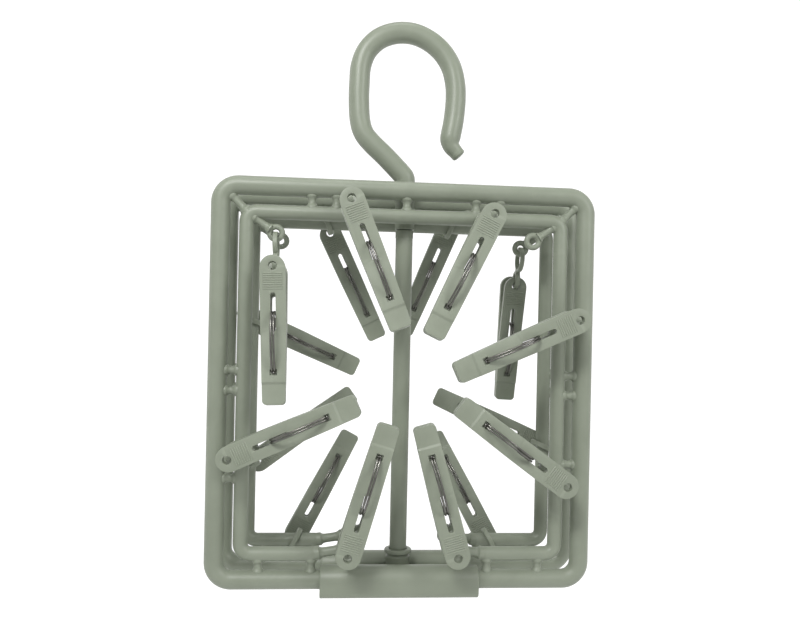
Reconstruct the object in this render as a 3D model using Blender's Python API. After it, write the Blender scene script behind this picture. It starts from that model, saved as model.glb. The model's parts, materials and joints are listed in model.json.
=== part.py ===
"""Folding clip drying hanger: a swivel hook and mast, two fold-up peg frames and sixteen pegs.

Units are metres, +Z is up and X runs along the hinge saddle. The origin is the seat inside
the crown of the hook, straight above the mast. The frames are modelled folded up along the
mast, one at -Y and one at +Y, with their pegs lying flat on the outer faces.
"""

import math

import bmesh
import bpy
from mathutils import Matrix, Vector

# Wing: a round-cornered outer tube loop with a thinner inner loop held inside it by short stubs.
WING_WIDTH = 0.1830            # outer loop, centreline
WING_HEIGHT = 0.1940
OUTER_TUBE = 0.0047            # tube radii
INNER_TUBE = 0.0036
LOOP_STEP = 0.0127             # from the outer centreline in to the inner one
OUTER_CORNER = 0.0088          # centreline corner radii
INNER_CORNER = 0.0052
INNER_END = 0.0400             # half the opening in the inner loop's bottom bar
STUB = 0.0019                  # stub radius
EYE_RING = 0.0031              # hanging eyes: ring radius and tube radius
EYE_TUBE = 0.0014
EYE_STRUT = 0.0018
END_STRUT = 0.0023
INNER_HALF = WING_WIDTH / 2 - LOOP_STEP
INNER_TOP = WING_HEIGHT - LOOP_STEP
TOP_STUBS = (-0.0471, -0.0349, 0.0, 0.0349, 0.0471)
BOTTOM_STUBS = (-0.0700, -0.0440, 0.0440, 0.0700)
LEFT_STUBS = (0.0500, 0.0930, 0.1030)
RIGHT_STUBS = (0.0580, 0.0930, 0.1030)
CORNER_EYE = (0.0645, 0.1710)  # across and up from the hinge axis
END_EYE = (0.0265, 0.0152)

# Hinges and saddle.
WING_OFFSET = 0.0130           # hinge axes in front of and behind the mast
SEAT_TO_HINGE = 0.2735         # from the hook seat down to the hinge axes
PLAY = 0.0003
SADDLE_LENGTH = 0.0786
SLEEVE = 0.0070
SADDLE_BASE = 0.0080           # flat underside below the hinge axes
VALLEY = 0.0010                # floor between the two sleeves, above the axes

# Mast and hook, heights above the hinge axes.
MAST = 0.0044
FOOT_FLANGE = 0.0070
FOOT_BODY = 0.0062
FOOT_GROOVE = 0.0056
FOOT_TOP = 0.0120
FOOT_SPIGOT = 0.0040
SWIVEL_LINE = 0.1767
SWIVEL_PIN = 0.0030
SWIVEL_DEPTH = 0.0200
SHANK = 0.0050
HOOK_ROD = 0.00525
HOOK_TIP = 0.0038
HOOK_CROWN = (                 # centreline
    (-0.0248, 0.2525), (-0.0242, 0.2609), (-0.0211, 0.2690), (-0.0146, 0.2755), (-0.0058, 0.2787),
    (0.0033, 0.2785), (0.0115, 0.2751), (0.0182, 0.2695), (0.0228, 0.2621), (0.0250, 0.2535), (0.0254, 0.2460))

# Link: a flat moulded figure of eight, thick rims round two eyes with a neck between.
LINK_LENGTH = 0.0120           # eye centre to eye centre
LINK_WIDTH = 0.0024
BAR_EYE = (0.0053, 0.0066)     # inner and outer radii
PEG_EYE = (0.0030, 0.0047)
LINK_NECK = 0.0016

# Peg: two equal arms, back to back, that rock on their closed faces at the fulcrum.
HANDLE = 0.0362                # fulcrum to handle tip
JAW = 0.0335                   # fulcrum to jaw tip
ARM_THICK = 0.0030
ARM_WIDTH = 0.0120
JAW_WIDTH = 0.0106
JAW_TIP_THICK = 0.0022
JAW_STEP = 0.0230              # where the outer face steps down, from the fulcrum
HANDLE_ANGLE = math.radians(7.25)
HOLE = 0.0021
HOLE_FROM_TIP = 0.0050
WEB = HOLE_FROM_TIP - HOLE     # material between the hole and the handle tip
SLOT_WIDTH = 0.0025
SLOT = (0.0175, 0.0355)        # slot ends, from the handle tip

# Where the pegs hang: kind of anchor, anchor place across and up the wing, the way the peg
# points (degrees anticlockwise from +X) and how far its link leans towards the peg (degrees).
# The two bottom pegs hang from the end eyes on the front wing, from the bar on the back one.
FRONT_PEGS = (
    ("bar", (-0.0262, INNER_TOP), -68, -28),
    ("bar", (0.0405, INNER_TOP), -116, 0),
    ("eye", (-CORNER_EYE[0], CORNER_EYE[1]), -88, 60),
    ("bar", (-INNER_HALF, 0.0640), 24, -28),
    ("eye", (-END_EYE[0], END_EYE[1]), 74, -30),
    ("eye", (END_EYE[0], END_EYE[1]), 106, -30),
    ("bar", (INNER_HALF, 0.0500), 144, 0),
    ("bar", (INNER_HALF, 0.1290), 204, -28),
)
LOW_BAR_PEGS = (
    ("bar", (-0.0505, LOOP_STEP), 62, -28),
    ("bar", (0.0540, LOOP_STEP), 118, -28),
)
BACK_PEGS = FRONT_PEGS[:4] + LOW_BAR_PEGS + FRONT_PEGS[6:]


def clear_scene():
    for item in list(bpy.data.objects):
        bpy.data.objects.remove(item, do_unlink=True)


def make_material(name, colour, roughness, metallic=0.0):
    material = bpy.data.materials.new(name)
    material.use_nodes = True
    shader = material.node_tree.nodes["Principled BSDF"]
    shader.inputs["Base Color"].default_value = (*colour, 1.0)
    shader.inputs["Roughness"].default_value = roughness
    shader.inputs["Metallic"].default_value = metallic
    material.diffuse_color = (*colour, 1.0)
    return material


def finish_mesh(bm, name):
    """Turn a bmesh into a mesh with outward faces and smooth round surfaces."""
    bmesh.ops.recalc_face_normals(bm, faces=bm.faces)
    mesh = bpy.data.meshes.new(name)
    bm.to_mesh(mesh)
    bm.free()
    mesh.shade_smooth()
    mesh.set_sharp_from_angle(angle=math.radians(35))
    return mesh


def place(name, mesh, material, parent=None, offset=(0, 0, 0)):
    item = bpy.data.objects.new(name, mesh)
    bpy.context.collection.objects.link(item)
    mesh.materials.clear()
    mesh.materials.append(material)
    item.location = offset
    item.parent = parent
    return item


def pivot(name, matrix, parent=None):
    """An empty on a joint axis. Its X axis is the axis of the joint."""
    empty = bpy.data.objects.new(name, None)
    empty.empty_display_size = 0.01
    bpy.context.collection.objects.link(empty)
    empty.parent = parent
    empty.matrix_local = matrix
    return empty


def basis(x_axis, y_axis, z_axis, origin):
    matrix = Matrix((x_axis, y_axis, z_axis)).transposed().to_4x4()
    matrix.translation = origin
    return matrix


def combine(base, others, operation="UNION"):
    """Join or cut meshes with exact Booleans and return one mesh."""
    holder = bpy.data.objects.new("work", base)
    bpy.context.collection.objects.link(holder)
    tools = []
    for index, mesh in enumerate(others):
        tool = bpy.data.objects.new(f"tool_{index}", mesh)
        bpy.context.collection.objects.link(tool)
        tool.hide_render = True
        tool.display_type = "WIRE"
        modifier = holder.modifiers.new(f"step_{index}", "BOOLEAN")
        modifier.operation = operation
        modifier.solver = "EXACT"
        modifier.object = tool
        tools.append(tool)
    graph = bpy.context.evaluated_depsgraph_get()
    result = bpy.data.meshes.new_from_object(holder.evaluated_get(graph))
    for item in (holder, *tools):
        bpy.data.objects.remove(item, do_unlink=True)
    bm = bmesh.new()
    bm.from_mesh(result)
    bmesh.ops.remove_doubles(bm, verts=bm.verts, dist=0.00002)
    bmesh.ops.dissolve_degenerate(bm, edges=bm.edges, dist=0.00001)
    return finish_mesh(bm, base.name)


def swept_tube(name, points, radii, sides, closed=False):
    """A round tube along points in the XZ plane, with one radius or one for each point."""
    if not isinstance(radii, (list, tuple)):
        radii = [radii] * len(points)
    bm = bmesh.new()
    rings = []
    count = len(points)
    for index, point in enumerate(points):
        before = points[index - 1] if closed or index else point
        after = points[(index + 1) % count] if closed or index < count - 1 else point
        along = (Vector(after) - Vector(before)).normalized()
        side = Vector((0, 1, 0))
        out = along.cross(side)
        turns = [2 * math.pi * k / sides for k in range(sides)]
        rings.append([bm.verts.new(Vector(point) + radii[index] * (math.cos(a) * side + math.sin(a) * out))
                      for a in turns])
    pairs = list(zip(rings, rings[1:])) + ([(rings[-1], rings[0])] if closed else [])
    for first, second in pairs:
        for k in range(sides):
            bm.faces.new((first[k], first[(k + 1) % sides], second[(k + 1) % sides], second[k]))
    if not closed:
        bm.faces.new(rings[0])
        bm.faces.new(rings[-1])
    return finish_mesh(bm, name)


def turned(name, profile, sides=20):
    """A solid of revolution about Z from (radius, height) points that start and end at radius 0."""
    bm = bmesh.new()
    rings = []
    for radius, height in profile:
        if radius == 0:
            rings.append([bm.verts.new((0, 0, height))])
            continue
        turns = [2 * math.pi * k / sides for k in range(sides)]
        rings.append([bm.verts.new((radius * math.cos(a), radius * math.sin(a), height)) for a in turns])
    for first, second in zip(rings, rings[1:]):
        for k in range(sides):
            corners = [first[k % len(first)], first[(k + 1) % len(first)],
                       second[(k + 1) % len(second)], second[k % len(second)]]
            bm.faces.new(list(dict.fromkeys(corners)))
    return finish_mesh(bm, name)


def rod(name, start, end, radius, sides=8):
    start, end = Vector(start), Vector(end)
    bm = bmesh.new()
    turn = Vector((0, 0, 1)).rotation_difference(end - start).to_matrix().to_4x4()
    bmesh.ops.create_cone(bm, cap_ends=True, segments=sides, radius1=radius, radius2=radius,
                          depth=(end - start).length, matrix=Matrix.Translation((start + end) / 2) @ turn)
    return finish_mesh(bm, name)


def extruded(name, loops, depth):
    """A plate from closed outlines in XZ, the first the edge and the rest holes, centred on Y."""
    bm = bmesh.new()
    edges = []
    for loop in loops:
        verts = [bm.verts.new((x, -depth / 2, z)) for x, z in loop]
        edges += [bm.edges.new((verts[k - 1], verts[k])) for k in range(len(verts))]
    bmesh.ops.triangle_fill(bm, edges=edges, use_beauty=True)
    grown = bmesh.ops.extrude_face_region(bm, geom=bm.faces[:])
    moved = [item for item in grown["geom"] if isinstance(item, bmesh.types.BMVert)]
    bmesh.ops.translate(bm, verts=moved, vec=(0, depth, 0))
    bmesh.ops.recalc_face_normals(bm, faces=bm.faces)
    return bm


def arc(centre, radius, start, end, steps):
    """Points on an arc, angles in degrees."""
    turns = [math.radians(start + (end - start) * k / steps) for k in range(steps + 1)]
    return [(centre[0] + radius * math.cos(a), centre[1] + radius * math.sin(a)) for a in turns]


def smooth_route(knots, steps):
    """A Catmull-Rom curve through knots of any length, steps points to a span."""
    padded = [2 * knots[0] - knots[1], *knots, 2 * knots[-1] - knots[-2]]
    route = []
    for a, b, c, d in zip(padded, padded[1:], padded[2:], padded[3:]):
        for k in range(steps):
            t = k / steps
            route.append(0.5 * (2 * b + (c - a) * t + (2 * a - 5 * b + 4 * c - d) * t * t
                                + (3 * b - a - 3 * c + d) * t ** 3))
    return [*route, knots[-1]]


def flat_to_3d(points):
    return [(x, 0.0, z) for x, z in points]


def build_eye(name, centre):
    bm = bmesh.new()
    around, across = 14, 8
    rings = []
    for i in range(around):
        a = 2 * math.pi * i / around
        ring = []
        for j in range(across):
            b = 2 * math.pi * j / across
            reach = EYE_RING + EYE_TUBE * math.cos(b)
            ring.append(bm.verts.new((centre[0] + reach * math.cos(a), EYE_TUBE * math.sin(b),
                                      centre[1] + reach * math.sin(a))))
        rings.append(ring)
    for i in range(around):
        first, second = rings[i], rings[(i + 1) % around]
        for j in range(across):
            bm.faces.new((first[j], first[(j + 1) % across], second[(j + 1) % across], second[j]))
    return finish_mesh(bm, name)


def build_wing():
    """One frame, with its hinge bar along X through the origin and its far bar at +Z."""
    half = WING_WIDTH / 2
    r = OUTER_CORNER
    steps = 5
    outer = (arc((half - r, r), r, -90, 0, steps) + arc((half - r, WING_HEIGHT - r), r, 0, 90, steps)
             + arc((r - half, WING_HEIGHT - r), r, 90, 180, steps) + arc((r - half, r), r, 180, 270, steps))
    frame = swept_tube("wing", flat_to_3d(outer), OUTER_TUBE, 14, closed=True)
    r = INNER_CORNER
    low, high, side = LOOP_STEP, INNER_TOP, INNER_HALF
    dome = 0.7 * INNER_TUBE
    loop = ([(INNER_END, low), (INNER_END + INNER_TUBE - dome, low), (INNER_END + INNER_TUBE, low)]
            + arc((side - r, low + r), r, -90, 0, 4) + arc((side - r, high - r), r, 0, 90, 4)
            + arc((r - side, high - r), r, 90, 180, 4) + arc((r - side, low + r), r, 180, 270, 4)
            + [(-INNER_END - INNER_TUBE, low), (-INNER_END - INNER_TUBE + dome, low), (-INNER_END, low)])
    radii = [0.45 * INNER_TUBE, 0.87 * INNER_TUBE] + [INNER_TUBE] * (len(loop) - 4)
    radii += [0.87 * INNER_TUBE, 0.45 * INNER_TUBE]
    parts = [swept_tube("inner", flat_to_3d(loop), radii, 12)]
    for x in TOP_STUBS:
        parts.append(rod("stub", (x, 0, INNER_TOP), (x, 0, WING_HEIGHT), STUB))
    for x in BOTTOM_STUBS:
        parts.append(rod("stub", (x, 0, 0), (x, 0, LOOP_STEP), STUB))
    for sign, heights in ((-1, LEFT_STUBS), (1, RIGHT_STUBS)):
        for z in heights:
            parts.append(rod("stub", (sign * INNER_HALF, 0, z), (sign * half, 0, z), STUB))
    eyes = []
    for sign in (-1, 1):
        near = (sign * (INNER_HALF - 0.0015), 0, INNER_TOP - 0.0015)
        far = (sign * (half - 0.0026), 0, WING_HEIGHT - 0.0026)
        parts.append(rod("corner_stub", near, far, STUB))
        eye = (sign * CORNER_EYE[0], CORNER_EYE[1])
        toward = (Vector((near[0], 0, near[2])) - Vector((eye[0], 0, eye[1]))).normalized()
        start = Vector((eye[0], 0, eye[1])) + toward * EYE_RING
        parts.append(rod("eye_strut", start, near, EYE_STRUT))
        eyes.append(build_eye("eye", eye))
        eye = (sign * END_EYE[0], END_EYE[1])
        end = Vector((sign * (INNER_END + INNER_TUBE), 0, LOOP_STEP))
        toward = (end - Vector((eye[0], 0, eye[1]))).normalized()
        start = Vector((eye[0], 0, eye[1])) + toward * EYE_RING
        parts.append(rod("eye_strut", start, end, END_STRUT))
        eyes.append(build_eye("eye", eye))
    return combine(frame, parts + eyes)


def build_saddle():
    """Twin sleeves round the two hinge bars, a valley between them and a flat underside."""
    lean = math.degrees(math.asin(VALLEY / SLEEVE))
    edge = 0.0030
    section = arc((-WING_OFFSET - SLEEVE + edge, edge - SADDLE_BASE), edge, 270, 180, 3)
    section += arc((-WING_OFFSET, 0), SLEEVE, 180, lean, 9)
    section += arc((WING_OFFSET, 0), SLEEVE, 180 - lean, 0, 9)
    section += arc((WING_OFFSET + SLEEVE - edge, edge - SADDLE_BASE), edge, 0, -90, 3)
    bore = OUTER_TUBE + PLAY
    holes = [arc((sign * WING_OFFSET, 0), bore, 0, 360, 20)[:-1] for sign in (-1, 1)]
    bm = extruded("saddle", [section, *holes], SADDLE_LENGTH)
    bmesh.ops.rotate(bm, verts=bm.verts, matrix=Matrix.Rotation(math.radians(90), 3, "Z"))
    body = finish_mesh(bm, "saddle")
    seat = rod("seat", (0, 0, VALLEY - 0.0001), (0, 0, 0.02), FOOT_BODY + PLAY, 24)
    socket = rod("socket", (0, 0, -0.0050), (0, 0, 0.02), FOOT_SPIGOT + PLAY, 16)
    return combine(body, [seat, socket], "DIFFERENCE")


def build_mast_foot():
    """A socket for the mast, with a spigot into the saddle and a rim round its mouth."""
    base = VALLEY + PLAY
    bore = MAST + PLAY
    rim = FOOT_TOP - 0.0024
    return turned("mast_foot", (
        (0, -0.0046), (FOOT_SPIGOT, -0.0046), (FOOT_SPIGOT, base), (FOOT_BODY, base),
        (FOOT_BODY, rim - 0.0014), (FOOT_GROOVE, rim - 0.0008), (FOOT_GROOVE, rim - 0.0002),
        (FOOT_FLANGE, rim + 0.0004), (FOOT_FLANGE, FOOT_TOP - 0.0004), (FOOT_FLANGE - 0.0004, FOOT_TOP),
        (bore, FOOT_TOP), (bore, base + 0.0020), (0, base + 0.0020)), 20)


def build_mast_tube():
    foot = VALLEY + PLAY + 0.0023
    top = SWIVEL_LINE - PLAY
    tip = SWIVEL_LINE + SWIVEL_DEPTH - 0.0010
    return turned("mast_tube", (
        (0, foot), (MAST, foot), (MAST, top), (SWIVEL_PIN, top), (SWIVEL_PIN, tip - 0.0008),
        (SWIVEL_PIN - 0.0008, tip), (0, tip)), 16)


def build_hook():
    """Shank, slanted neck, crown and turned-out tip in one rod, with a bore for the swivel pin."""
    neck = [Vector(knot) for knot in (
        (0, 0.2010, SHANK), (-0.0006, 0.2038, HOOK_ROD), (-0.0028, 0.2066, HOOK_ROD),
        (-0.0105, 0.2143, HOOK_ROD), (-0.0181, 0.2213, HOOK_ROD), (-0.0222, 0.2264, HOOK_ROD),
        (-0.0242, 0.2330, HOOK_ROD), (-0.0249, 0.2430, HOOK_ROD))]
    crown = [Vector((x, z, HOOK_ROD)) for x, z in HOOK_CROWN]
    tip = [Vector(knot) for knot in (
        (0.0250, 0.2390, HOOK_ROD), (0.0243, 0.2330, HOOK_ROD), (0.0233, 0.2275, HOOK_ROD),
        (0.0229, 0.2243, HOOK_ROD * 0.97), (0.0237, 0.2212, HOOK_TIP * 1.15), (0.0258, 0.2186, HOOK_TIP),
        (0.0281, 0.2161, HOOK_TIP * 0.95))]
    route = [Vector((0, SWIVEL_LINE, SHANK)), Vector((0, 0.1980, SHANK))]
    route += smooth_route(neck + crown + tip, 2)
    points = [(x, 0.0, z) for x, z, _ in route]
    rod_mesh = swept_tube("hook", points, [radius for _, _, radius in route], 14)
    bore = rod("bore", (0, 0, SWIVEL_LINE - 0.01), (0, 0, SWIVEL_LINE + SWIVEL_DEPTH), SWIVEL_PIN + PLAY, 16)
    return combine(rod_mesh, [bore], "DIFFERENCE")


def build_link():
    """Lies in the YZ plane. The origin is the bar eye's centre and the peg eye hangs below it."""
    inner, outer = BAR_EYE
    turn = math.degrees(math.asin(LINK_NECK / outer))
    edge = arc((0, 0), outer, -90 + turn, 270 - turn, 16)
    low = math.degrees(math.asin(LINK_NECK / PEG_EYE[1]))
    edge += arc((0, -LINK_LENGTH), PEG_EYE[1], 90 + low, 450 - low, 12)
    holes = [arc((0, 0), inner, 0, 360, 16)[:-1], arc((0, -LINK_LENGTH), PEG_EYE[0], 0, 360, 12)[:-1]]
    bm = extruded("link", [edge, *holes], LINK_WIDTH)
    bmesh.ops.rotate(bm, verts=bm.verts, matrix=Matrix.Rotation(math.radians(90), 3, "Z"))
    return finish_mesh(bm, "link")


def build_arm():
    """One peg arm on the -Y side of the closed faces. The origin is the fulcrum, the handle is up.

    The handle leans away from the other arm above the fulcrum. A jaw arm seen from outside
    has a hanging hole, a slot for the spring and a thinner tip.
    """
    half, jaw_half, corner = ARM_WIDTH / 2, JAW_WIDTH / 2, 0.0020
    edge = arc((0, HANDLE - half), half, 0, 180, 8)
    edge += [(-half, 0.0)]
    edge += arc((-jaw_half + corner, -JAW + corner), corner, 180, 270, 2)
    edge += arc((jaw_half - corner, -JAW + corner), corner, 270, 360, 2)
    edge += [(half, 0.0)]
    hole = arc((0, HANDLE - HOLE_FROM_TIP), HOLE, 0, 360, 10)[:-1]
    reach = SLOT_WIDTH / 2
    slot = arc((0, HANDLE - SLOT[0] - reach), reach, 0, 180, 3)
    slot += arc((0, HANDLE - SLOT[1] + reach), reach, 180, 360, 3)
    bm = extruded("arm", [edge, hole, slot], ARM_THICK)
    for height in (0.0, -JAW_STEP, -JAW_STEP - 0.0012):
        cut = bm.verts[:] + bm.edges[:] + bm.faces[:]
        bmesh.ops.bisect_plane(bm, geom=cut, dist=1e-7, plane_co=(0, 0, height), plane_no=(0, 0, 1))
    lean = math.tan(HANDLE_ANGLE)
    for vert in bm.verts:
        outside = vert.co.y < 0
        vert.co.y -= (ARM_THICK + PLAY) / 2
        if vert.co.z > 1e-6:
            vert.co.y -= lean * vert.co.z
        if outside and vert.co.z < -JAW_STEP - 1e-5:
            vert.co.y += ARM_THICK - JAW_TIP_THICK
    return finish_mesh(bm, "arm")


def hang_peg(label, peg, wing_pivot, meshes, plastic):
    """Hang one peg with its link on a wing. Wing axes: X across, Z up from the hinge, -Y outwards."""
    kind, (across, up), direction, lean = peg
    angle = math.radians(direction)
    ahead = Vector((math.cos(angle), 0, math.sin(angle)))
    out = Vector((0, -1, 0))
    axle = ahead.cross(out)
    anchor = Vector((across, 0, up))
    eye_centre = anchor.copy()
    axis = axle
    if kind == "bar":
        axis = Vector((1, 0, 0)) if up in (INNER_TOP, LOOP_STEP) else Vector((0, 0, 1))
        axis *= math.copysign(1, axis.dot(axle))
    else:
        anchor += ahead * EYE_RING
        eye_centre += ahead * (BAR_EYE[0] + BAR_EYE[1]) / 2
    tilt = math.radians(lean)
    reach = ahead * math.sin(tilt) + out * math.cos(tilt)

    swing_frame = basis(axis, out, axis.cross(out), anchor)
    swing = pivot(f"link_pivot_{label}", swing_frame, wing_pivot)
    link_frame = basis(axle, axle.cross(reach), -reach, eye_centre)
    link_seat = pivot(f"link_seat_{label}", swing_frame.inverted() @ link_frame, swing)
    place(f"link_{label}", meshes["link"], plastic["link"], link_seat)

    web_height = HANDLE - WEB / 2
    web_depth = -(ARM_THICK + PLAY) / 2 - math.tan(HANDLE_ANGLE) * web_height
    web = eye_centre + reach * LINK_LENGTH
    tipped = Matrix.Rotation(HANDLE_ANGLE, 3, axle)
    peg_frame = basis(axle, tipped @ out, tipped @ -ahead, web)
    hang = pivot(f"peg_pivot_{label}", swing_frame.inverted() @ peg_frame, swing)
    fulcrum = Matrix.Translation((0, -web_depth, -web_height))
    rock = pivot(f"arm_pivot_{label}", fulcrum, hang)
    place(f"peg_inner_{label}", meshes["arm"], plastic["peg"], hang, (0, -web_depth, -web_height))
    outer = place(f"peg_outer_{label}", meshes["arm"], plastic["peg"], rock)
    outer.rotation_euler = (0, 0, math.pi)


def main():
    clear_scene()
    sage = (0.235, 0.262, 0.200)
    plastic = {
        "frame": make_material("frame_plastic", sage, 0.42),
        "mast": make_material("mast_plastic", (0.225, 0.255, 0.192), 0.42),
        "link": make_material("link_plastic", (0.245, 0.272, 0.210), 0.45),
        "peg": make_material("peg_plastic", (0.250, 0.278, 0.214), 0.45),
    }
    level = Matrix.Translation((0, 0, -SEAT_TO_HINGE))
    base = pivot("hanger_base", level)
    place("hook", build_hook(), plastic["mast"], base)
    mast = pivot("mast_pivot", Matrix.Identity(4), base)
    place("mast_tube", build_mast_tube(), plastic["mast"], mast)
    place("mast_foot", build_mast_foot(), plastic["mast"], mast)
    place("saddle", build_saddle(), plastic["frame"], mast)
    meshes = {"link": build_link(), "arm": build_arm()}
    wing_mesh = build_wing()
    for side, turn, pegs in (("front", 0.0, FRONT_PEGS), ("back", math.pi, BACK_PEGS)):
        spin = Matrix.Rotation(turn, 4, "Z")
        hinge = pivot(f"wing_pivot_{side}", spin @ Matrix.Translation((0, -WING_OFFSET, 0)), mast)
        place(f"wing_{side}", wing_mesh, plastic["frame"], hinge)
        for index, peg in enumerate(pegs):
            hang_peg(f"{side}_{index + 1}", peg, hinge, meshes, plastic)
    bpy.context.view_layer.update()


main()
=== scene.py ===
"""Fine surfaces, materials, light and camera for the folding clip drying hanger.

Everything is in metres in the shared frame: +Z up, X along the saddle, the front wing at -Y.
Joints give the places of the wings, links and pegs; the shapes below fill them in.
"""

import json
import math

import bmesh
import bpy
from mathutils import Matrix, Vector


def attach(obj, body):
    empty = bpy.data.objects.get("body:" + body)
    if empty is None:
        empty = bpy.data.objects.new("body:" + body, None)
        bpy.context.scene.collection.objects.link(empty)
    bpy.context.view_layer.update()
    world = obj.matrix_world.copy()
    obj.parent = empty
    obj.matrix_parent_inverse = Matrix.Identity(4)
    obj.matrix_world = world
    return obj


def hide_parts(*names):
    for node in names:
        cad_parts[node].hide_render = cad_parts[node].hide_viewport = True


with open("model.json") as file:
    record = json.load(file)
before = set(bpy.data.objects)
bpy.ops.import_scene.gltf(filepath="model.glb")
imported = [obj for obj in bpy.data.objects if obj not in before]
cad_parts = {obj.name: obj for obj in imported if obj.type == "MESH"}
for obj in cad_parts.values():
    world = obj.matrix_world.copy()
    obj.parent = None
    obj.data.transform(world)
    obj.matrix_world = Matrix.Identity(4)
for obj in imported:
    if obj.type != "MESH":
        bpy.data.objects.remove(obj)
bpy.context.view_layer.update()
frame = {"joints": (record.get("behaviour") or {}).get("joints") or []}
JOINTS = {joint["name"]: joint for joint in frame["joints"]}

# Wing
WING_WIDTH = 0.1830
WING_HEIGHT = 0.1940
OUTER_TUBE = 0.0047
INNER_TUBE = 0.0036
LOOP_STEP = 0.0127
OUTER_CORNER = 0.0088
INNER_CORNER = 0.0052
INNER_END = 0.0400
STUB = 0.0019
STUB_FLARE = 0.0011            # extra radius where a stub runs into a tube
FLARE_REACH = 0.0007
EYE_RING = 0.0031
EYE_TUBE = 0.0014
EYE_STRUT = 0.0018
END_STRUT = 0.0023
CORNER_INSET = 0.0015          # where a corner stub starts, in from the inner loop's corner
CORNER_REACH = 0.0026          # and where it ends, in from the outer loop's corner
INNER_HALF = WING_WIDTH / 2 - LOOP_STEP
INNER_TOP = WING_HEIGHT - LOOP_STEP
TOP_STUBS = (-0.0471, -0.0349, 0.0, 0.0349, 0.0471)
BOTTOM_STUBS = (-0.0700, -0.0440, 0.0440, 0.0700)
LEFT_STUBS = (0.0500, 0.0930, 0.1030)
RIGHT_STUBS = (0.0580, 0.0930, 0.1030)
CORNER_EYE = (0.0645, 0.1710)
END_EYE = (0.0265, 0.0152)
SEAM = 0.00007                 # height of the mould's parting line
SEAM_HALF_ANGLE = math.radians(3.2)

# Saddle and mast, heights above the hinge axes
PLAY = 0.0003
SADDLE_LENGTH = 0.0786
SLEEVE = 0.0070
SADDLE_BASE = 0.0080
VALLEY = 0.0010
MAST = 0.0044
FOOT_FLANGE = 0.0070
FOOT_BODY = 0.0062
FOOT_GROOVE = 0.0056
FOOT_TOP = 0.0120
FOOT_SPIGOT = 0.0040
SWIVEL_LINE = 0.1767
SWIVEL_PIN = 0.0030
SWIVEL_DEPTH = 0.0200
SHANK = 0.0050

# Hook
HOOK_ROD = 0.00525
HOOK_TIP = 0.0038
HOOK_CROWN = (                 # centreline
    (-0.0248, 0.2525), (-0.0242, 0.2609), (-0.0211, 0.2690), (-0.0146, 0.2755),
    (-0.0058, 0.2787), (0.0033, 0.2785), (0.0115, 0.2751), (0.0182, 0.2695),
    (0.0228, 0.2621), (0.0250, 0.2535), (0.0254, 0.2460))

# Link
LINK_LENGTH = 0.0120
LINK_WIDTH = 0.0024
BAR_EYE = (0.0053, 0.0066)
PEG_EYE = (0.0030, 0.0047)
LINK_NECK = 0.0016

# Peg arm: origin at the fulcrum, handle up, outside face at -Y
HANDLE = 0.0362
JAW = 0.0335
ARM_THICK = 0.0030
ARM_WIDTH = 0.0120
JAW_WIDTH = 0.0106
JAW_TIP_THICK = 0.0022
JAW_STEP = 0.0230
HANDLE_ANGLE = math.radians(7.25)
HOLE = 0.0021
HOLE_FROM_TIP = 0.0050
SLOT_WIDTH = 0.0025
SLOT = (0.0175, 0.0355)
RIB_START = 0.0084             # grip ribs, from the handle tip
RIB_PITCH = 0.00105
RIB_COUNT = 8
RIB_HEIGHT = 0.00028
TEETH = 6                      # grooves across the inside of the jaw
TOOTH_START = 0.0016           # from the jaw's end
TOOTH_PITCH = 0.0013
TOOTH_DEPTH = 0.00042
BEND = 0.0030                  # half the height over which the arm bends at the fulcrum
STEP_SOFT = 0.0002             # rounding above the step down to the thin jaw tip
STEP_LENGTH = 0.0016
WIRE = 0.00052                 # spring wire radius
STRAND_GAP = 0.00062           # half the distance between its two strands
SPRING_LANDING = 0.0545        # where the bow lands on the jaw, from the handle tip

HINGE_LEVEL = JOINTS["wing_fold_front"]["pos_m"][2]
WING_OFFSET = JOINTS["wing_fold_back"]["pos_m"][1]


# ---------------------------------------------------------------- materials

def add_node(tree, kind, **inputs):
    node = tree.nodes.new(kind)
    for name, value in inputs.items():
        node.inputs[name.replace("_", " ")].default_value = value
    return node


def new_material(name):
    material = bpy.data.materials.new(name)
    material.use_nodes = True
    tree = material.node_tree
    return material, tree, tree.links.new, tree.nodes["Principled BSDF"]


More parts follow.
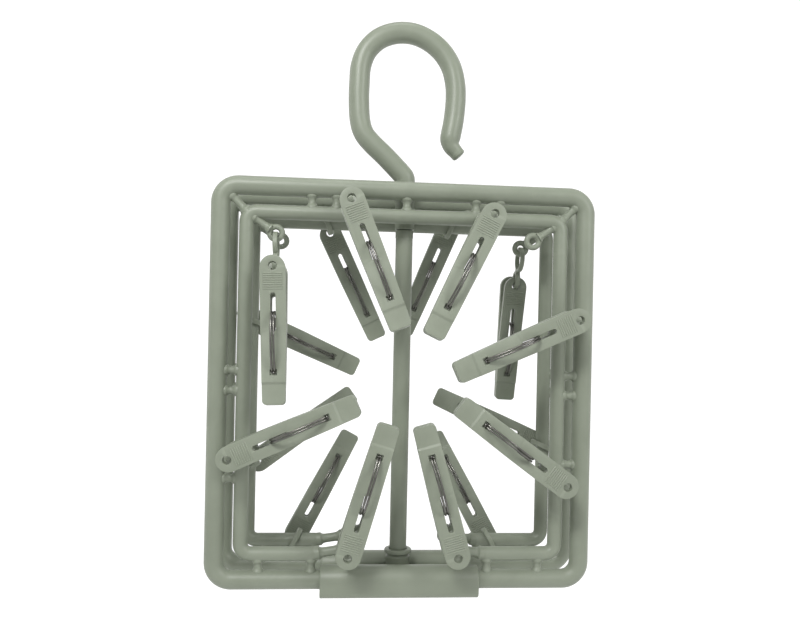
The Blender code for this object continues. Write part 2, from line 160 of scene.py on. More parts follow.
def moulded_plastic(name, light, dark, roughness, edge=0.35):
    """Satin moulded plastic: cloudy colour, soft flow marks, a fine spark grain and a painted highlight that
    makes convex edges paler (edge sets how pale).
    """
    material, tree, link, shader = new_material(name)
    shader.inputs["IOR"].default_value = 1.49
    shader.inputs["Subsurface Weight"].default_value = 0.06
    shader.inputs["Subsurface Radius"].default_value = (0.0012, 0.0014, 0.0010)
    shader.inputs["Subsurface Scale"].default_value = 1.0
    place = add_node(tree, "ShaderNodeTexCoord")

    clouds = add_node(tree, "ShaderNodeTexNoise", Scale=42.0, Detail=4.0, Roughness=0.55, Distortion=0.6)
    tint = add_node(tree, "ShaderNodeValToRGB")
    tint.color_ramp.elements[0].position = 0.32
    tint.color_ramp.elements[0].color = (*dark, 1)
    tint.color_ramp.elements[1].position = 0.70
    tint.color_ramp.elements[1].color = (*light, 1)
    link(place.outputs["Object"], clouds.inputs["Vector"])
    link(clouds.outputs["Fac"], tint.inputs["Fac"])

    # Painted highlight: convex edges, found by pointiness, are mixed towards a paler sage and broken up by
    # fine noise, standing in for light caught on rounded edges.
    geometry = add_node(tree, "ShaderNodeNewGeometry")
    painted_edge_highlight = add_node(tree, "ShaderNodeMapRange")
    painted_edge_highlight.inputs["From Min"].default_value = 0.53
    painted_edge_highlight.inputs["From Max"].default_value = 0.62
    painted_edge_highlight.inputs["To Max"].default_value = edge
    highlight_breakup = add_node(tree, "ShaderNodeTexNoise", Scale=900.0, Detail=3.0, Roughness=0.7)
    spread = add_node(tree, "ShaderNodeMath")
    spread.operation = "MULTIPLY"
    blend = add_node(tree, "ShaderNodeMix")
    blend.data_type = "RGBA"
    pale = [min(1.0, channel * 1.35 + 0.02) for channel in light]
    blend.inputs["B"].default_value = (*pale, 1)
    link(geometry.outputs["Pointiness"], painted_edge_highlight.inputs["Value"])
    link(place.outputs["Object"], highlight_breakup.inputs["Vector"])
    link(painted_edge_highlight.outputs["Result"], spread.inputs[0])
    link(highlight_breakup.outputs["Fac"], spread.inputs[1])
    link(spread.outputs["Value"], blend.inputs["Factor"])
    link(tint.outputs["Color"], blend.inputs["A"])
    link(blend.outputs["Result"], shader.inputs["Base Color"])

    streaks = add_node(tree, "ShaderNodeTexNoise", Scale=160.0, Detail=5.0, Roughness=0.6, Distortion=0.3)
    gloss = add_node(tree, "ShaderNodeMapRange")
    gloss.inputs["To Min"].default_value = roughness - 0.07
    gloss.inputs["To Max"].default_value = roughness + 0.09
    link(place.outputs["Object"], streaks.inputs["Vector"])
    link(streaks.outputs["Fac"], gloss.inputs["Value"])
    link(gloss.outputs["Result"], shader.inputs["Roughness"])

    spark = add_node(tree, "ShaderNodeTexNoise", Scale=2600.0, Detail=2.0, Roughness=0.6)
    flow = add_node(tree, "ShaderNodeTexNoise", Scale=95.0, Detail=2.0, Roughness=0.5, Distortion=0.8)
    fine = add_node(tree, "ShaderNodeBump", Strength=0.45, Distance=0.00002)
    soft = add_node(tree, "ShaderNodeBump", Strength=0.35, Distance=0.00022)
    link(place.outputs["Object"], spark.inputs["Vector"])
    link(place.outputs["Object"], flow.inputs["Vector"])
    link(spark.outputs["Fac"], fine.inputs["Height"])
    link(flow.outputs["Fac"], soft.inputs["Height"])
    link(soft.outputs["Normal"], fine.inputs["Normal"])
    link(fine.outputs["Normal"], shader.inputs["Normal"])
    return material


def spring_steel(name):
    """Dark tempered wire with drawn streaks and faint heat tint."""
    material, tree, link, shader = new_material(name)
    shader.inputs["Metallic"].default_value = 1.0
    place = add_node(tree, "ShaderNodeTexCoord")
    tint_noise = add_node(tree, "ShaderNodeTexNoise", Scale=260.0, Detail=3.0, Roughness=0.6)
    tint = add_node(tree, "ShaderNodeValToRGB")
    tint.color_ramp.elements[0].color = (0.085, 0.085, 0.080, 1)
    tint.color_ramp.elements[1].color = (0.230, 0.225, 0.205, 1)
    drawn = add_node(tree, "ShaderNodeTexNoise", Scale=1500.0, Detail=3.0, Roughness=0.7)
    gloss = add_node(tree, "ShaderNodeMapRange")
    gloss.inputs["To Min"].default_value = 0.22
    gloss.inputs["To Max"].default_value = 0.42
    bump = add_node(tree, "ShaderNodeBump", Strength=0.3, Distance=0.00002)
    link(place.outputs["Object"], tint_noise.inputs["Vector"])
    link(place.outputs["Object"], drawn.inputs["Vector"])
    link(tint_noise.outputs["Fac"], tint.inputs["Fac"])
    link(tint.outputs["Color"], shader.inputs["Base Color"])
    link(drawn.outputs["Fac"], gloss.inputs["Value"])
    link(gloss.outputs["Result"], shader.inputs["Roughness"])
    link(drawn.outputs["Fac"], bump.inputs["Height"])
    link(bump.outputs["Normal"], shader.inputs["Normal"])
    return material


# ---------------------------------------------------------------- mesh tools

WELD = 0.000002                # points closer than this become one
BEVEL_ANGLE = math.radians(60)


def finish_mesh(bm, name, sharp=35):
    bmesh.ops.recalc_face_normals(bm, faces=bm.faces)
    mesh = bpy.data.meshes.new(name)
    bm.to_mesh(mesh)
    bm.free()
    mesh.shade_smooth()
    mesh.set_sharp_from_angle(angle=math.radians(sharp))
    return mesh


def evaluated_copy(holder, name):
    graph = bpy.context.evaluated_depsgraph_get()
    mesh = bpy.data.meshes.new_from_object(holder.evaluated_get(graph))
    mesh.name = name
    bpy.data.objects.remove(holder, do_unlink=True)
    return mesh


def work_object(mesh):
    holder = bpy.data.objects.new("work", mesh)
    bpy.context.collection.objects.link(holder)
    return holder


def combine(base, steps):
    """Apply exact Booleans, each step an operation and a mesh, and return one mesh."""
    holder = work_object(base)
    tools = []
    for index, (operation, mesh) in enumerate(steps):
        tool = work_object(mesh)
        modifier = holder.modifiers.new(f"step_{index}", "BOOLEAN")
        modifier.operation = operation
        modifier.solver = "EXACT"
        modifier.object = tool
        tools.append(tool)
    mesh = evaluated_copy(holder, base.name)
    for tool in tools:
        bpy.data.objects.remove(tool, do_unlink=True)
    bm = bmesh.new()
    bm.from_mesh(mesh)
    bmesh.ops.remove_doubles(bm, verts=bm.verts, dist=WELD)
    bmesh.ops.dissolve_degenerate(bm, edges=bm.edges, dist=WELD)
    return finish_mesh(bm, base.name)


def bevelled(mesh, width, segments):
    holder = work_object(mesh)
    modifier = holder.modifiers.new("round_edges", "BEVEL")
    modifier.width = width
    modifier.segments = segments
    modifier.limit_method = "ANGLE"
    modifier.angle_limit = BEVEL_ANGLE
    return evaluated_copy(holder, mesh.name)


def turns_of(sides):
    return [2 * math.pi * k / sides for k in range(sides)]


def join_rings(bm, rings, closed=False, capped=True):
    """Skin a row of rings of points. A ring of one point is a pole."""
    pairs = list(zip(rings, rings[1:])) + ([(rings[-1], rings[0])] if closed else [])
    for first, second in pairs:
        for k in range(max(len(first), len(second))):
            corners = [first[k % len(first)], first[(k + 1) % len(first)],
                       second[(k + 1) % len(second)], second[k % len(second)]]
            bm.faces.new(list(dict.fromkeys(corners)))
    if capped:
        bm.faces.new(rings[0])
        bm.faces.new(rings[-1])


def tube(name, points, radii, sides=32, closed=False, seam=SEAM):
    """A round tube along points in the XZ plane, with a parting line in that plane."""
    if not isinstance(radii, (list, tuple)):
        radii = [radii] * len(points)
    turns = [(a, 0.0) for a in turns_of(sides)]
    if seam:
        for middle in (math.pi / 2, 3 * math.pi / 2):
            turns = [turn for turn in turns if abs(turn[0] - middle) > 1e-6]
            turns += [(middle - SEAM_HALF_ANGLE, 0.0), (middle, seam), (middle + SEAM_HALF_ANGLE, 0.0)]
        turns.sort()
    bm = bmesh.new()
    rings = []
    count = len(points)
    side = Vector((0, 1, 0))
    for index, point in enumerate(points):
        before = points[index - 1] if closed or index else point
        after = points[(index + 1) % count] if closed or index < count - 1 else point
        out = (Vector(after) - Vector(before)).normalized().cross(side)
        centre = Vector(point)
        rings.append([bm.verts.new(centre + (radii[index] + extra) * (math.cos(a) * side + math.sin(a) * out))
                      for a, extra in turns])
    join_rings(bm, rings, closed, capped=not closed)
    return finish_mesh(bm, name)


def turned(name, profile, sides=48, sharp=28):
    """A body of revolution about Z from (radius, height) pairs."""
    bm = bmesh.new()
    rings = [[bm.verts.new((radius * math.cos(a), radius * math.sin(a), height))
              for a in turns_of(sides if radius else 1)] for radius, height in profile]
    join_rings(bm, rings, capped=False)
    return finish_mesh(bm, name, sharp)


def solid_rod(name, start, end, profile, sides=20):
    """A rod between two points. The profile gives (share of the length, radius) pairs."""
    start, end = Vector(start), Vector(end)
    turn = Vector((0, 0, 1)).rotation_difference(end - start).to_matrix()
    bm = bmesh.new()
    rings = []
    for share, radius in profile:
        centre = start.lerp(end, share)
        rings.append([bm.verts.new(centre + turn @ Vector((radius * math.cos(a), radius * math.sin(a), 0)))
                      for a in turns_of(sides)])
    join_rings(bm, rings)
    return finish_mesh(bm, name)


def plain_rod(name, start, end, radius, sides):
    return solid_rod(name, start, end, ((0, radius), (1, radius)), sides)


def flared(start, end, radius, start_skin, end_skin):
    """A stub between two tube axes that widens into a fillet at each tube's skin."""
    length = (Vector(end) - Vector(start)).length
    profile = []
    for k in range(25):
        share = k / 24
        gap = min(share * length - start_skin, (1 - share) * length - end_skin)
        extra = STUB_FLARE * math.exp(-max(gap, 0) / FLARE_REACH)
        profile.append((share, radius + extra))
    return solid_rod("stub", start, end, profile)


def extruded(name, loops, depth):
    """A plate from closed outlines in XZ, the first the edge and the rest holes, centred on Y."""
    bm = bmesh.new()
    edges = []
    for loop in loops:
        verts = [bm.verts.new((x, -depth / 2, z)) for x, z in loop]
        edges += [bm.edges.new((verts[k - 1], verts[k])) for k in range(len(verts))]
    bmesh.ops.triangle_fill(bm, edges=edges, use_beauty=True)
    grown = bmesh.ops.extrude_face_region(bm, geom=bm.faces[:])
    moved = [item for item in grown["geom"] if isinstance(item, bmesh.types.BMVert)]
    bmesh.ops.translate(bm, verts=moved, vec=(0, depth, 0))
    return finish_mesh(bm, name)


def quarter_turn(mesh):
    mesh.transform(Matrix.Rotation(math.radians(90), 4, "Z"))
    return mesh


def block(low, high):
    bm = bmesh.new()
    size = Vector(high) - Vector(low)
    middle = (Vector(high) + Vector(low)) / 2
    bmesh.ops.create_cube(bm, size=1, matrix=Matrix.Translation(middle) @ Matrix.Diagonal((*size, 1)))
    return finish_mesh(bm, "block")


def arc(centre, radius, start, end, steps):
    turns = [math.radians(start + (end - start) * k / steps) for k in range(steps + 1)]
    return [(centre[0] + radius * math.cos(a), centre[1] + radius * math.sin(a)) for a in turns]


def smooth_route(knots, steps):
    padded = [2 * knots[0] - knots[1], *knots, 2 * knots[-1] - knots[-2]]
    route = []
    for a, b, c, d in zip(padded, padded[1:], padded[2:], padded[3:]):
        for k in range(steps):
            t = k / steps
            route.append(0.5 * (2 * b + (c - a) * t + (2 * a - 5 * b + 4 * c - d) * t * t
                                + (3 * b - a - 3 * c + d) * t ** 3))
    return [*route, knots[-1]]


def dome(radius, steps=7):
    """(distance in from the end, radius) for a hemispherical end, tip first."""
    turns = [math.pi / 2 * (k + 0.35) / (steps + 0.35) for k in range(steps + 1)]
    return [(radius * (1 - math.sin(a)), radius * math.cos(a)) for a in reversed(turns)]


# ---------------------------------------------------------------- shapes

def build_eye(centre):
    ring = arc(centre, EYE_RING, 0, 360, 40)[:-1]
    return tube("eye", [(x, 0, z) for x, z in ring], EYE_TUBE, 20, closed=True, seam=0)


def build_wing():
    half = WING_WIDTH / 2
    r = OUTER_CORNER
    outer = (arc((half - r, r), r, -90, 0, 14) + arc((half - r, WING_HEIGHT - r), r, 0, 90, 14)
             + arc((r - half, WING_HEIGHT - r), r, 90, 180, 14) + arc((r - half, r), r, 180, 270, 14))
    body = tube("wing", [(x, 0, z) for x, z in outer], OUTER_TUBE, 36, closed=True)
    r = INNER_CORNER
    low, high, side = LOOP_STEP, INNER_TOP, INNER_HALF
    cap = [(INNER_END + gap, low) for gap, _ in dome(INNER_TUBE)]
    radii = [radius for _, radius in dome(INNER_TUBE)]
    bends = (arc((side - r, low + r), r, -90, 0, 10) + arc((side - r, high - r), r, 0, 90, 10)
             + arc((r - side, high - r), r, 90, 180, 10) + arc((r - side, low + r), r, 180, 270, 10))
    path = cap + bends + [(-x, z) for x, z in reversed(cap)]
    widths = radii + [INNER_TUBE] * len(bends) + radii[::-1]
    parts = [tube("inner", [(x, 0, z) for x, z in path], widths, 30)]
    for x in TOP_STUBS:
        parts.append(flared((x, 0, INNER_TOP), (x, 0, WING_HEIGHT), STUB, INNER_TUBE, OUTER_TUBE))
    for x in BOTTOM_STUBS:
        parts.append(flared((x, 0, 0), (x, 0, LOOP_STEP), STUB, OUTER_TUBE, INNER_TUBE))
    for sign, heights in ((-1, LEFT_STUBS), (1, RIGHT_STUBS)):
        for z in heights:
            root, far = (sign * INNER_HALF, 0, z), (sign * half, 0, z)
            parts.append(flared(root, far, STUB, INNER_TUBE, OUTER_TUBE))
    for sign in (-1, 1):
        near = Vector((sign * (INNER_HALF - CORNER_INSET), 0, INNER_TOP - CORNER_INSET))
        far = Vector((sign * (half - CORNER_REACH), 0, WING_HEIGHT - CORNER_REACH))
        parts.append(flared(near, far, STUB, INNER_TUBE, OUTER_TUBE))
        inner_end = Vector((sign * (INNER_END + INNER_TUBE), 0, LOOP_STEP))
        for eye, root, strut in ((CORNER_EYE, near, EYE_STRUT), (END_EYE, inner_end, END_STRUT)):
            middle = Vector((sign * eye[0], 0, eye[1]))
            start = middle + (root - middle).normalized() * EYE_RING
            parts.append(flared(start, root, strut, EYE_TUBE * 0.6, INNER_TUBE))
            parts.append(build_eye((middle.x, middle.z)))
    return combine(body, [("UNION", part) for part in parts])


def build_saddle():
    lean = math.degrees(math.asin(VALLEY / SLEEVE))
    edge = 0.0030
    section = arc((-WING_OFFSET - SLEEVE + edge, edge - SADDLE_BASE), edge, 270, 180, 8)
    section += arc((-WING_OFFSET, 0), SLEEVE, 180, lean, 28)
    section += arc((WING_OFFSET, 0), SLEEVE, 180 - lean, 0, 28)
    section += arc((WING_OFFSET + SLEEVE - edge, edge - SADDLE_BASE), edge, 0, -90, 8)
    holes = [arc((sign * WING_OFFSET, 0), OUTER_TUBE + PLAY, 0, 360, 48)[:-1] for sign in (-1, 1)]
    body = bevelled(quarter_turn(extruded("saddle", [section, *holes], SADDLE_LENGTH)), 0.0005, 3)
    above = (0, 0, 0.02)
    seat = plain_rod("seat", (0, 0, VALLEY - 0.0001), above, FOOT_BODY + PLAY, 48)
    socket = plain_rod("socket", (0, 0, -0.005), above, FOOT_SPIGOT + PLAY, 32)
    return combine(body, [("DIFFERENCE", seat), ("DIFFERENCE", socket)])


def build_mast_foot():
    base = VALLEY + PLAY
    bore = MAST + PLAY
    rim = FOOT_TOP - 0.0024
    soft = 0.0003
    return turned("mast_foot", (
        (0, -0.0046), (FOOT_SPIGOT - soft, -0.0046), (FOOT_SPIGOT, -0.0046 + soft), (FOOT_SPIGOT, base),
        (FOOT_BODY - soft, base), (FOOT_BODY, base + soft), (FOOT_BODY, rim - 0.0016),
        (FOOT_BODY - soft, rim - 0.0012), (FOOT_GROOVE, rim - 0.0008), (FOOT_GROOVE, rim - 0.0002),
        (FOOT_FLANGE - soft, rim + 0.0003), (FOOT_FLANGE, rim + 0.0006), (FOOT_FLANGE, FOOT_TOP - 0.0007),
        (FOOT_FLANGE - soft / 2, FOOT_TOP - 0.0003), (FOOT_FLANGE - 0.0008, FOOT_TOP),
        (bore + soft, FOOT_TOP), (bore, FOOT_TOP - soft), (bore, base + 0.0020), (0, base + 0.0020)))


def build_mast_tube():
    foot = VALLEY + PLAY + 0.0023
    top = SWIVEL_LINE - PLAY
    tip = SWIVEL_LINE + SWIVEL_DEPTH - 0.0010
    soft = 0.0004
    band = 0.0040
    return turned("mast_tube", (
        (0, foot), (MAST - soft, foot), (MAST, foot + soft), (MAST, top - band),
        (MAST + 0.00018, top - band + 0.0002), (MAST + 0.00018, top - soft), (MAST - soft / 2, top),
        (SWIVEL_PIN, top), (SWIVEL_PIN, tip - 0.0012), (SWIVEL_PIN - 0.0004, tip - 0.0004),
        (SWIVEL_PIN - 0.0012, tip), (0, tip)))


def build_hook():
    """Shank with a collar, slanted neck, crown and turned-out tip with a rounded end."""
    collar = SHANK + 0.0002
    shank = [Vector((0, height, radius)) for height, radius in (
        (SWIVEL_LINE, SHANK - 0.0003), (SWIVEL_LINE + 0.0003, SHANK), (SWIVEL_LINE + 0.0030, SHANK),
        (SWIVEL_LINE + 0.0032, collar), (SWIVEL_LINE + 0.0060, collar), (SWIVEL_LINE + 0.0062, SHANK),
        (0.1890, SHANK), (0.1950, SHANK))]
    neck = [Vector(knot) for knot in (
        (0, 0.2010, SHANK), (-0.0006, 0.2038, HOOK_ROD), (-0.0028, 0.2066, HOOK_ROD),
        (-0.0105, 0.2143, HOOK_ROD), (-0.0181, 0.2213, HOOK_ROD), (-0.0222, 0.2264, HOOK_ROD),
        (-0.0242, 0.2330, HOOK_ROD), (-0.0249, 0.2430, HOOK_ROD))]
    crown = [Vector((x, z, HOOK_ROD)) for x, z in HOOK_CROWN]
    tip = [Vector(knot) for knot in (
        (0.0250, 0.2390, HOOK_ROD), (0.0243, 0.2330, HOOK_ROD), (0.0233, 0.2275, HOOK_ROD),
        (0.0229, 0.2243, HOOK_ROD * 0.97), (0.0237, 0.2212, HOOK_TIP * 1.15), (0.0258, 0.2186, HOOK_TIP),
        (0.0274, 0.21686, HOOK_TIP * 0.97))]
    route = smooth_route(neck + crown + tip, 9)
    along = (tip[-1] - tip[-2]).to_2d().normalized()
    for ahead, share in ((0.0003, 0.96), (0.0006, 0.90), (0.0009, 0.80), (0.0011, 0.62), (0.0012, 0.35)):
        route.append(Vector((*(tip[-1].to_2d() + along * ahead), HOOK_TIP * share)))
    points = [(x, 0.0, z) for x, z, _ in shank + route]
    body = tube("hook", points, [radius for _, _, radius in shank + route], 40)
    below, deep = (0, 0, SWIVEL_LINE - 0.01), (0, 0, SWIVEL_LINE + SWIVEL_DEPTH)
    bore = plain_rod("bore", below, deep, SWIVEL_PIN + PLAY, 32)
    return combine(body, [("DIFFERENCE", bore)])


def build_link():
    inner, outer = BAR_EYE
    turn = math.degrees(math.asin(LINK_NECK / outer))
    low = math.degrees(math.asin(LINK_NECK / PEG_EYE[1]))
    edge = arc((0, 0), outer, -90 + turn, 270 - turn, 56)
    edge += arc((0, -LINK_LENGTH), PEG_EYE[1], 90 + low, 450 - low, 44)
    holes = [arc((0, 0), inner, 0, 360, 48)[:-1], arc((0, -LINK_LENGTH), PEG_EYE[0], 0, 360, 36)[:-1]]
    return bevelled(quarter_turn(extruded("link", [edge, *holes], LINK_WIDTH)), 0.00045, 4)


def smoothstep(value):
    value = min(max(value, 0.0), 1.0)
    return value * value * (3 - 2 * value)


def shape_arm(point):
    """Bend a flat arm at the fulcrum and thin its jaw tip. Flat arms are centred on Y."""
    rise = point.z
    if abs(rise) < BEND:
        rise = (point.z + BEND) ** 2 / (4 * BEND)
    lean = math.tan(HANDLE_ANGLE) * max(rise, 0.0)
    outside = 0.5 - point.y / ARM_THICK
    thin = (ARM_THICK - JAW_TIP_THICK) * smoothstep((-point.z - JAW_STEP + STEP_SOFT) / STEP_LENGTH)
    return Vector((point.x, point.y - (ARM_THICK + PLAY) / 2 - lean + outside * thin, point.z))


def build_arm():
    """One peg arm on the -Y side of the closed faces, as part of a pair back to back."""
    half, jaw_half, corner = ARM_WIDTH / 2, JAW_WIDTH / 2, 0.0020
    edge = arc((0, HANDLE - half), half, 0, 180, 26)
    edge += [(-half, 0.004), (-half + 0.00006, 0.0)]
    edge += arc((-jaw_half + corner, -JAW + corner), corner, 180, 270, 7)
    edge += arc((jaw_half - corner, -JAW + corner), corner, 270, 360, 7)
    edge += [(half - 0.00006, 0.0), (half, 0.004)]
    hole = arc((0, HANDLE - HOLE_FROM_TIP), HOLE, 0, 360, 28)[:-1]
    reach = SLOT_WIDTH / 2
    slot = arc((0, HANDLE - SLOT[0] - reach), reach, 0, 180, 10)
    slot += arc((0, HANDLE - SLOT[1] + reach), reach, 180, 360, 10)
    plate = bevelled(extruded("arm", [edge, hole, slot], ARM_THICK), 0.00042, 3)
    steps = []
    skin = -ARM_THICK / 2
    for k in range(RIB_COUNT):
        height = HANDLE - RIB_START - k * RIB_PITCH
        reach = min(half - 0.0011, 0.0046)
        crest = (-reach, skin + 0.0002 - RIB_HEIGHT / 2, height)
        rib_end = (reach, crest[1], height)
        steps.append(("UNION", solid_rod("rib", crest, rib_end, (
            (0, 0.00016), (0.03, 0.00034), (0.97, 0.00034), (1, 0.00016)), 12)))
    landing = HANDLE - SPRING_LANDING
    pocket = block((-0.0017, skin - 0.001, landing - 0.0016), (0.0017, skin + 0.0011, landing + 0.0012))
    steps.append(("DIFFERENCE", pocket))
    for k in range(TEETH):
        height = -JAW + TOOTH_START + k * TOOTH_PITCH
        left, right = (-half, -skin + 0.0001, height), (half, -skin + 0.0001, height)
        steps.append(("DIFFERENCE", plain_rod("groove", left, right, TOOTH_DEPTH, 4)))
    mesh = combine(plate, steps)
    bm = bmesh.new()
    bm.from_mesh(mesh)
    cuts = [-0.003 + 0.001 * k for k in range(7)] + [-JAW_STEP + 0.0002 - 0.0002 * k for k in range(9)]
    for height in cuts:
        geometry = bm.verts[:] + bm.edges[:] + bm.faces[:]
        bmesh.ops.bisect_plane(bm, geom=geometry, dist=1e-7, plane_co=(0, 0, height), plane_no=(0, 0, 1))
    for vert in bm.verts:
        vert.co = shape_arm(vert.co)
    return finish_mesh(bm, "arm", 32)


def build_half_spring():
    """Half of the bow spring: a hairpin of wire from the slot over to the jaw, on the -Y side."""
    landing = HANDLE - SPRING_LANDING
    side = [Vector(knot) for knot in (
        (0, 0.0009, 0.0100), (0, -0.0024, 0.0100), (0, -0.0056, 0.0090), (0, -0.0083, 0.0052),
        (0, -0.0093, -0.0006), (0, -0.0088, -0.0066), (0, -0.0070, -0.0122), (0, -0.0044, landing + 0.0012),
        (0, -0.0027, landing + 0.0002))]
    strand = smooth_route(side, 7)
    shift = Vector((STRAND_GAP, 0, 0))
    turn = [strand[-1] + Vector((STRAND_GAP * math.cos(a), -0.0001, -STRAND_GAP * math.sin(a)))
            for a in (math.pi * k / 8 for k in range(1, 8))]
    route = [point + shift for point in strand] + turn + [point - shift for point in reversed(strand)]
    sides = 14
    bm = bmesh.new()
    rings = []
    across = Vector((1, 0, 0))
    for index, point in enumerate(route):
        along = (route[min(index + 1, len(route) - 1)] - route[max(index - 1, 0)]).normalized()
        across = (across - along * across.dot(along)).normalized()
        other = along.cross(across)
        rings.append([bm.verts.new(point + WIRE * (math.cos(a) * across + math.sin(a) * other))
                      for a in turns_of(sides)])
    join_rings(bm, rings)
    return finish_mesh(bm, "spring")


# ---------------------------------------------------------------- placing

SAME_LENGTH = 1e-5             # a link whose joints are further off than this hangs on an eye


def show(name, mesh, material, matrix, body, node=None):
    piece = bpy.data.objects.new(name, mesh)
    bpy.context.collection.objects.link(piece)
    if not mesh.materials:
        mesh.materials.append(material)
    piece.matrix_world = matrix
    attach(piece, body)
    if node:
        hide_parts(node)


def basis(x_axis, y_axis, z_axis, origin):
    matrix = Matrix((x_axis, y_axis, z_axis)).transposed().to_4x4()
    matrix.translation = origin
    return matrix


def hang_pegs(side, out, meshes, looks):
    for number in range(1, 9):
        label = f"{side}_{number}"
        hang = JOINTS[f"peg_swing_{label}"]
        axle = Vector(hang["axis"])
        web = Vector(hang["pos_m"])
        anchor = Vector(JOINTS[f"link_swing_{label}"]["pos_m"])
        fulcrum = Vector(JOINTS[f"jaw_open_{label}"]["pos_m"])
        ahead = out.cross(axle)
        eye_centre = anchor
        if abs((web - anchor).length - LINK_LENGTH) > SAME_LENGTH:
            eye_centre = anchor + ahead * ((BAR_EYE[0] + BAR_EYE[1]) / 2 - EYE_RING)
        reach = (web - eye_centre).normalized()
        show(f"link_fine_{label}", meshes["link"], looks["link"],
             basis(axle, axle.cross(reach), -reach, eye_centre), f"link_{label}",
             f"link_{label}")
        tipped = Matrix.Rotation(HANDLE_ANGLE, 3, axle)
        inner = basis(axle, tipped @ out, tipped @ -ahead, fulcrum)
        outer = inner @ Matrix.Rotation(math.pi, 4, "Z")
        show(f"arm_inner_fine_{label}", meshes["arm"], looks["peg"], inner, f"peg_{label}",
             f"peg_inner_{label}")
        show(f"arm_outer_fine_{label}", meshes["arm"], looks["peg"], outer, f"arm_{label}",
             f"peg_outer_{label}")
        show(f"spring_inner_{label}", meshes["spring"], looks["steel"], inner, f"peg_{label}")
        show(f"spring_outer_{label}", meshes["spring"], looks["steel"], outer, f"arm_{label}")


def build_hanger():
    looks = {
        "frame": moulded_plastic("frame_sage", (0.222, 0.248, 0.192), (0.196, 0.220, 0.168), 0.42),
        "mast": moulded_plastic("mast_sage", (0.218, 0.244, 0.188), (0.193, 0.217, 0.165), 0.40),
        "link": moulded_plastic("link_sage", (0.228, 0.254, 0.197), (0.204, 0.228, 0.175), 0.46),
        # the pegs get a stronger painted edge highlight
        "peg": moulded_plastic("peg_sage", (0.232, 0.258, 0.201), (0.206, 0.230, 0.177), 0.44, edge=0.5),
        "steel": spring_steel("spring_steel"),
    }
    level = Matrix.Translation((0, 0, HINGE_LEVEL))
    show("hook_fine", build_hook(), looks["mast"], level, "hook", "hook")
    show("mast_tube_fine", build_mast_tube(), looks["mast"], level, "mast", "mast_tube")
    show("mast_foot_fine", build_mast_foot(), looks["mast"], level, "mast", "mast_foot")
    show("saddle_fine", build_saddle(), looks["frame"], level, "mast", "saddle")
    wing = build_wing()
    meshes = {"link": build_link(), "arm": build_arm(), "spring": build_half_spring()}
    for side, turn in (("front", 0.0), ("back", math.pi)):
        spin = Matrix.Rotation(turn, 4, "Z")
        place = level @ spin @ Matrix.Translation((0, -WING_OFFSET, 0))
        show(f"wing_fine_{side}", wing, looks["frame"], place, f"wing_{side}",
             f"wing_{side}")
        hang_pegs(side, spin.to_3x3() @ Vector((0, -1, 0)), meshes, looks)


# ---------------------------------------------------------------- stage, light, camera

FLOOR_LEVEL = -0.42
FLOOR_FLAT = 2.6               # radius of the flat part
FLOOR_SWEEP = 1.2              # radius of the sweep up to the wall
FLOOR_WALL = 5.0
FRONT_PLANE = 0.356            # camera distance in front of the front wing's plane
FOCAL_MM = 32.0
SENSOR_MM = 36.0
SHIFT_UP = 0.049
RAISE = 0.018                  # camera height above the wing's middle
SHIFT_LEFT = 0.0048
ROLL = math.radians(1.2)
TURN = math.radians(-4.5)      # round the hanger, towards its left side


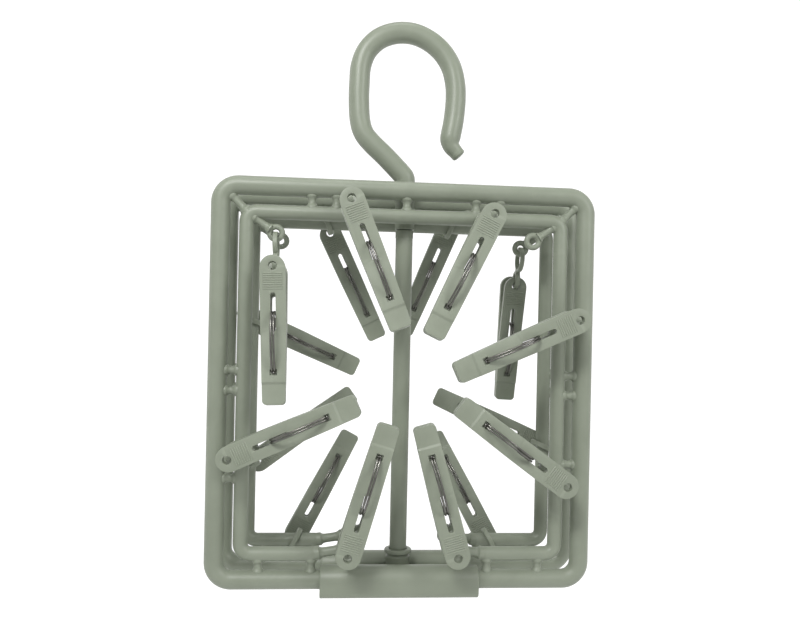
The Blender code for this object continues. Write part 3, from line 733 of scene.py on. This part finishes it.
def build_stage():
    """A round pale floor that sweeps up all round and glows more behind the hanger than in front of it."""
    sweep = [math.pi / 2 * k / 16 for k in range(1, 17)]
    profile = [(0, 0), (FLOOR_FLAT, 0)]
    profile += [(FLOOR_FLAT + FLOOR_SWEEP * math.sin(a), FLOOR_SWEEP * (1 - math.cos(a))) for a in sweep]
    profile += [(FLOOR_FLAT + FLOOR_SWEEP, FLOOR_WALL)]
    floor = bpy.data.objects.new("floor", turned("floor", profile, 96, 35))
    bpy.context.collection.objects.link(floor)
    floor.location.z = FLOOR_LEVEL
    paint, tree, link, shader = new_material("floor_paint")
    shader.inputs["Base Color"].default_value = (0.30, 0.30, 0.30, 1)
    shader.inputs["Roughness"].default_value = 1.0
    shader.inputs["Specular IOR Level"].default_value = 0.0
    shader.inputs["Emission Color"].default_value = (1, 1, 1, 1)
    place = add_node(tree, "ShaderNodeTexCoord")
    depth = add_node(tree, "ShaderNodeSeparateXYZ")
    glow = add_node(tree, "ShaderNodeMapRange")
    glow.inputs["From Min"].default_value = -0.6
    glow.inputs["From Max"].default_value = 0.25
    glow.inputs["To Min"].default_value = 0.36
    glow.inputs["To Max"].default_value = 0.90
    link(place.outputs["Object"], depth.inputs["Vector"])
    link(depth.outputs["Y"], glow.inputs["Value"])
    link(glow.outputs["Result"], shader.inputs["Emission Strength"])
    floor.data.materials.append(paint)

    world = bpy.data.worlds.new("studio")
    bpy.context.scene.world = world
    world.use_nodes = True
    sky = world.node_tree.nodes["Background"]
    sky.inputs["Color"].default_value = (1, 1, 1, 1)
    sky.inputs["Strength"].default_value = 0.45


def area_light(name, location, target, size, watts):
    light = bpy.data.lights.new(name, "AREA")
    light.shape = "DISK"
    light.size = size
    light.energy = watts
    lamp = bpy.data.objects.new(name, light)
    bpy.context.collection.objects.link(lamp)
    lamp.location = location
    lamp.rotation_euler = (Vector(target) - Vector(location)).to_track_quat("-Z", "Y").to_euler()


def build_light():
    middle = (0, 0, -0.15)
    area_light("key", (-0.50, -0.85, 0.62), middle, 0.30, 5.0)
    area_light("fill", (0.75, -0.80, 0.30), middle, 0.32, 4.0)
    area_light("top", (0.0, -0.2, 1.6), middle, 0.8, 6)
    area_light("hook light", (-0.16, -0.46, 0.20), (0, 0, 0.09), 0.14, 1.3)


def build_camera():
    camera = bpy.data.cameras.new("camera")
    camera.lens = FOCAL_MM
    camera.sensor_width = SENSOR_MM
    camera.sensor_fit = "HORIZONTAL"
    camera.shift_x = -SHIFT_LEFT
    camera.shift_y = SHIFT_UP
    camera.clip_start = 0.01
    camera.dof.use_dof = False
    seat = bpy.data.objects.new("camera", camera)
    bpy.context.collection.objects.link(seat)
    aim = Vector((0, -WING_OFFSET, HINGE_LEVEL + WING_HEIGHT / 2 + RAISE))
    turn = Matrix.Rotation(TURN, 3, "Z")
    seat.location = aim + turn @ Vector((0, -FRONT_PLANE, 0))
    level = Matrix.Rotation(math.pi / 2, 3, "X")
    seat.rotation_euler = (turn @ level @ Matrix.Rotation(ROLL, 3, "Z")).to_euler()
    bpy.context.scene.camera = seat


build_camera()
build_stage()
build_light()
build_hanger()
bpy.context.scene.view_settings.view_transform = "Standard"
